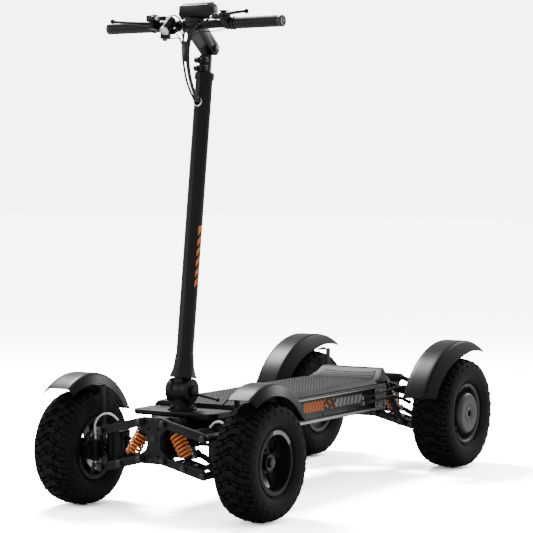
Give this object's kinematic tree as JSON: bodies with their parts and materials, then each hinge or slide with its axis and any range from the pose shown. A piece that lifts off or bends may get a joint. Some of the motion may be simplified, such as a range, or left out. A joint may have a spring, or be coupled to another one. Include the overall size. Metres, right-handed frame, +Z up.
{
  "type": "four-wheeled stand-up scooter",
  "caption": "Four-wheeled stand-up electric scooter with lean-to-steer wishbone suspension, knobbly tyres, a standing deck and a folding column with a straight bar.",
  "frame": {"origin": "on the floor, under the middle of the overall length and width", "axes": "+X rider's left, -Y forward, +Z up"},
  "size_m": [0.6714, 1.4515, 1.3212],
  "materials": {
    "tyre_rubber": "knobbly matte rubber",
    "fender_plastic": "satin moulded black",
    "spring_orange": "orange powder coat",
    "black_steel": "black powder coat",
    "black_anodised": "black anodised",
    "polished_steel": "bright shaft",
    "rim_alloy": "dark grey satin",
    "motor_casing": "dark grey satin",
    "tray_alloy": "satin bead-blasted",
    "pad_rubber": "moulded studded rubber",
    "pack_case": "shrink-wrapped cells",
    "cable_rubber": "smooth black sheath",
    "column_black": "fine matte powder coat",
    "grip_rubber": "ribbed soft rubber",
    "trim_plastic": "fine texture",
    "lamp_metal": "dark anodised with clear lens"
  },
  "bodies": {
    "chassis": {"deck_tray": "tray_alloy", "deck_plate": "black_anodised", "foot_pads": "pad_rubber", "power_pack": "pack_case", "bulkhead_front": "black_anodised", "bulkhead_rear": "black_anodised", "fold_base": "column_black", "motor_leads": "cable_rubber"},
    "column": {"column": "column_black"},
    "fold_lever": {"fold_lever": "black_steel"},
    "stem": {"stem": "black_anodised", "handlebar": "black_anodised", "grips": "grip_rubber", "display": "trim_plastic", "bar_cables": "cable_rubber"},
    "brake_lever_left": {"brake_lever_left": "black_anodised"},
    "brake_lever_right": {"brake_lever_right": "black_anodised"},
    "thumb_throttle": {"thumb_throttle": "trim_plastic"},
    "display_button": {"display_button": "trim_plastic"},
    "headlight": {"headlight": "lamp_metal"},
    "lower_arm_fl": {"lower_arm_fl": "black_steel"},
    "upper_arm_fl": {"upper_arm_fl": "black_steel"},
    "shock_body_fl": {"shock_body_fl": "black_anodised", "spring_fl": "spring_orange"},
    "shock_rod_fl": {"shock_rod_fl": "polished_steel"},
    "wheel_fl": {"rim_fl": "rim_alloy", "tyre_fl": "tyre_rubber"},
    "carrier_fl": {"carrier_fl": "black_anodised"},
    "knuckle_fl": {"knuckle_fl": "black_anodised", "fender_fl": "fender_plastic"},
    "tie_rod_fl": {"tie_rod_fl": "polished_steel"},
    "lower_arm_fr": {"lower_arm_fr": "black_steel"},
    "upper_arm_fr": {"upper_arm_fr": "black_steel"},
    "shock_body_fr": {"shock_body_fr": "black_anodised", "spring_fr": "spring_orange"},
    "shock_rod_fr": {"shock_rod_fr": "polished_steel"},
    "wheel_fr": {"rim_fr": "rim_alloy", "tyre_fr": "tyre_rubber"},
    "carrier_fr": {"carrier_fr": "black_anodised"},
    "knuckle_fr": {"knuckle_fr": "black_anodised", "fender_fr": "fender_plastic"},
    "tie_rod_fr": {"tie_rod_fr": "polished_steel"},
    "lower_arm_rl": {"lower_arm_rl": "black_steel"},
    "upper_arm_rl": {"upper_arm_rl": "black_steel"},
    "shock_body_rl": {"shock_body_rl": "black_anodised", "spring_rl": "spring_orange"},
    "shock_rod_rl": {"shock_rod_rl": "polished_steel"},
    "wheel_rl": {"rim_rl": "motor_casing", "tyre_rl": "tyre_rubber"},
    "upright_rl": {"upright_rl": "black_anodised", "fender_rl": "fender_plastic"},
    "lower_arm_rr": {"lower_arm_rr": "black_steel"},
    "upper_arm_rr": {"upper_arm_rr": "black_steel"},
    "shock_body_rr": {"shock_body_rr": "black_anodised", "spring_rr": "spring_orange"},
    "shock_rod_rr": {"shock_rod_rr": "polished_steel"},
    "wheel_rr": {"rim_rr": "motor_casing", "tyre_rr": "tyre_rubber"},
    "upright_rr": {"upright_rr": "black_anodised", "fender_rr": "fender_plastic"}
  },
  "joints": [
    {"name": "suspension_fl", "type": "hinge", "parent": "chassis", "child": "lower_arm_fl", "pos_m": [0.036, -0.57325, 0.146], "axis": [0, -1, 0], "range_deg": [-8, 10], "stiffness_Nm_per_rad": 320, "springref_deg": -2.58},
    {"name": "upper_arm_swing_fl", "type": "hinge", "parent": "chassis", "child": "upper_arm_fl", "pos_m": [0.036, -0.57325, 0.241], "axis": [0, -1, 0], "range_deg": [-8.2, 10.2]},
    {"name": "upright_swing_fl", "type": "hinge", "parent": "lower_arm_fl", "child": "carrier_fl", "pos_m": [0.158, -0.57325, 0.1155], "axis": [0, -1, 0], "range_deg": [-10.2, 8.2]},
    {"name": "shock_swing_fl", "type": "hinge", "parent": "chassis", "child": "shock_body_fl", "pos_m": [0.04, -0.61425, 0.23], "axis": [0, -1, 0], "range_deg": [-3.4, 4.1]},
    {"name": "shock_stroke_fl", "type": "slide", "parent": "shock_body_fl", "child": "shock_rod_fl", "axis": [-0.5081, 0, 0.8613], "range_m": [-0.0068, 0.0084], "deforming": ["spring_fl"]},
    {"name": "steer_fl", "type": "hinge", "parent": "carrier_fl", "child": "knuckle_fl", "pos_m": [0.178, -0.57325, 0.1525], "axis": [0, 0, 1], "range_deg": [-8.5, 10.5]},
    {"name": "tie_rod_swing_fl", "type": "hinge", "parent": "chassis", "child": "tie_rod_fl", "pos_m": [0.056, -0.54325, 0.18], "axis": [0, -1, 0], "range_deg": [-8.2, 10.4]},
    {"name": "wheel_spin_fl", "type": "hinge", "parent": "knuckle_fl", "child": "wheel_fl", "pos_m": [0.27775, -0.57325, 0.1525], "axis": [1, 0, 0], "continuous": true},
    {"name": "suspension_fr", "type": "hinge", "parent": "chassis", "child": "lower_arm_fr", "pos_m": [-0.036, -0.57325, 0.146], "axis": [0, 1, 0], "range_deg": [-8, 10], "stiffness_Nm_per_rad": 320, "springref_deg": -2.58},
    {"name": "upper_arm_swing_fr", "type": "hinge", "parent": "chassis", "child": "upper_arm_fr", "pos_m": [-0.036, -0.57325, 0.241], "axis": [0, 1, 0], "range_deg": [-8.2, 10.2]},
    {"name": "upright_swing_fr", "type": "hinge", "parent": "lower_arm_fr", "child": "carrier_fr", "pos_m": [-0.158, -0.57325, 0.1155], "axis": [0, 1, 0], "range_deg": [-10.2, 8.2]},
    {"name": "shock_swing_fr", "type": "hinge", "parent": "chassis", "child": "shock_body_fr", "pos_m": [-0.04, -0.61425, 0.23], "axis": [0, 1, 0], "range_deg": [-3.4, 4.1]},
    {"name": "shock_stroke_fr", "type": "slide", "parent": "shock_body_fr", "child": "shock_rod_fr", "axis": [0.5081, 0, 0.8613], "range_m": [-0.0068, 0.0084], "deforming": ["spring_fr"]},
    {"name": "steer_fr", "type": "hinge", "parent": "carrier_fr", "child": "knuckle_fr", "pos_m": [-0.178, -0.57325, 0.1525], "axis": [0, 0, -1], "range_deg": [-8.5, 10.5]},
    {"name": "tie_rod_swing_fr", "type": "hinge", "parent": "chassis", "child": "tie_rod_fr", "pos_m": [-0.056, -0.54325, 0.18], "axis": [0, 1, 0], "range_deg": [-8.2, 10.4]},
    {"name": "wheel_spin_fr", "type": "hinge", "parent": "knuckle_fr", "child": "wheel_fr", "pos_m": [-0.27775, -0.57325, 0.1525], "axis": [1, 0, 0], "continuous": true},
    {"name": "suspension_rl", "type": "hinge", "parent": "chassis", "child": "lower_arm_rl", "pos_m": [0.036, 0.56075, 0.1585], "axis": [0, -1, 0], "range_deg": [-8, 10], "stiffness_Nm_per_rad": 320, "springref_deg": -2.58},
    {"name": "upper_arm_swing_rl", "type": "hinge", "parent": "chassis", "child": "upper_arm_rl", "pos_m": [0.036, 0.56075, 0.2535], "axis": [0, -1, 0], "range_deg": [-8.2, 10.2]},
    {"name": "upright_swing_rl", "type": "hinge", "parent": "lower_arm_rl", "child": "upright_rl", "pos_m": [0.158, 0.56075, 0.128], "axis": [0, -1, 0], "range_deg": [-10.2, 8.2]},
    {"name": "shock_swing_rl", "type": "hinge", "parent": "chassis", "child": "shock_body_rl", "pos_m": [0.04, 0.51975, 0.2425], "axis": [0, -1, 0], "range_deg": [-3.4, 4.1]},
    {"name": "shock_stroke_rl", "type": "slide", "parent": "shock_body_rl", "child": "shock_rod_rl", "axis": [-0.5081, 0, 0.8613], "range_m": [-0.0068, 0.0084], "deforming": ["spring_rl"]},
    {"name": "wheel_spin_rl", "type": "hinge", "parent": "upright_rl", "child": "wheel_rl", "pos_m": [0.2525, 0.56075, 0.165], "axis": [1, 0, 0], "continuous": true},
    {"name": "suspension_rr", "type": "hinge", "parent": "chassis", "child": "lower_arm_rr", "pos_m": [-0.036, 0.56075, 0.1585], "axis": [0, 1, 0], "range_deg": [-8, 10], "stiffness_Nm_per_rad": 320, "springref_deg": -2.58},
    {"name": "upper_arm_swing_rr", "type": "hinge", "parent": "chassis", "child": "upper_arm_rr", "pos_m": [-0.036, 0.56075, 0.2535], "axis": [0, 1, 0], "range_deg": [-8.2, 10.2]},
    {"name": "upright_swing_rr", "type": "hinge", "parent": "lower_arm_rr", "child": "upright_rr", "pos_m": [-0.158, 0.56075, 0.128], "axis": [0, 1, 0], "range_deg": [-10.2, 8.2]},
    {"name": "shock_swing_rr", "type": "hinge", "parent": "chassis", "child": "shock_body_rr", "pos_m": [-0.04, 0.51975, 0.2425], "axis": [0, 1, 0], "range_deg": [-3.4, 4.1]},
    {"name": "shock_stroke_rr", "type": "slide", "parent": "shock_body_rr", "child": "shock_rod_rr", "axis": [0.5081, 0, 0.8613], "range_m": [-0.0068, 0.0084], "deforming": ["spring_rr"]},
    {"name": "wheel_spin_rr", "type": "hinge", "parent": "upright_rr", "child": "wheel_rr", "pos_m": [-0.2525, 0.56075, 0.165], "axis": [1, 0, 0], "continuous": true},
    {"name": "column_fold", "type": "hinge", "parent": "chassis", "child": "column", "pos_m": [0, -0.51075, 0.311], "axis": [-1, 0, 0], "range_deg": [0, 78]},
    {"name": "fold_lever_swing", "type": "hinge", "parent": "chassis", "child": "fold_lever", "pos_m": [0.0375, -0.51075, 0.311], "axis": [1, 0, 0], "range_deg": [0, 70]},
    {"name": "stem_tilt", "type": "hinge", "parent": "column", "child": "stem", "pos_m": [0, -0.37925, 1.203], "axis": [-1, 0, 0], "range_deg": [0, 12]},
    {"name": "brake_left_squeeze", "type": "hinge", "parent": "stem", "child": "brake_lever_left", "pos_m": [0.11, -0.48125, 1.281], "axis": [0, 0, 1], "range_deg": [0, 14], "stiffness_Nm_per_rad": 1.5, "springref_deg": -5.73},
    {"name": "brake_right_squeeze", "type": "hinge", "parent": "stem", "child": "brake_lever_right", "pos_m": [-0.11, -0.48125, 1.2635], "axis": [0, 0, -1], "range_deg": [0, 11], "stiffness_Nm_per_rad": 1.5, "springref_deg": -5.73},
    {"name": "throttle_push", "type": "hinge", "parent": "stem", "child": "thumb_throttle", "pos_m": [-0.0965, -0.45325, 1.2605], "axis": [-1, 0, 0], "range_deg": [0, 30], "stiffness_Nm_per_rad": 0.35, "springref_deg": -11.46},
    {"name": "button_press", "type": "slide", "parent": "stem", "child": "display_button", "axis": [0, -0.9781, -0.2079], "range_m": [0, 0.0012], "stiffness_N_per_m": 400, "springref_m": -0.0005},
    {"name": "headlight_aim", "type": "hinge", "parent": "stem", "child": "headlight", "pos_m": [-0.051, -0.47825, 1.243], "axis": [1, 0, 0], "range_deg": [0, 20]}
  ],
  "couplings": [
    {"joint": "upper_arm_swing_fl", "follows": "suspension_fl", "ratio": 1},
    {"joint": "upright_swing_fl", "follows": "suspension_fl", "ratio": -1},
    {"joint": "shock_swing_fl", "follows": "suspension_fl", "ratio": 0.392},
    {"joint": "shock_stroke_fl", "follows": "suspension_fl", "m_per_rad": 0.0466},
    {"joint": "steer_fl", "follows": "suspension_fl", "ratio": 1.03},
    {"joint": "tie_rod_swing_fl", "follows": "suspension_fl", "ratio": 1.01},
    {"joint": "upper_arm_swing_fr", "follows": "suspension_fr", "ratio": 1},
    {"joint": "upright_swing_fr", "follows": "suspension_fr", "ratio": -1},
    {"joint": "shock_swing_fr", "follows": "suspension_fr", "ratio": 0.392},
    {"joint": "shock_stroke_fr", "follows": "suspension_fr", "m_per_rad": 0.0466},
    {"joint": "steer_fr", "follows": "suspension_fr", "ratio": 1.03},
    {"joint": "tie_rod_swing_fr", "follows": "suspension_fr", "ratio": 1.01},
    {"joint": "upper_arm_swing_rl", "follows": "suspension_rl", "ratio": 1},
    {"joint": "upright_swing_rl", "follows": "suspension_rl", "ratio": -1},
    {"joint": "shock_swing_rl", "follows": "suspension_rl", "ratio": 0.392},
    {"joint": "shock_stroke_rl", "follows": "suspension_rl", "m_per_rad": 0.0466},
    {"joint": "upper_arm_swing_rr", "follows": "suspension_rr", "ratio": 1},
    {"joint": "upright_swing_rr", "follows": "suspension_rr", "ratio": -1},
    {"joint": "shock_swing_rr", "follows": "suspension_rr", "ratio": 0.392},
    {"joint": "shock_stroke_rr", "follows": "suspension_rr", "m_per_rad": 0.0466}
  ]
}
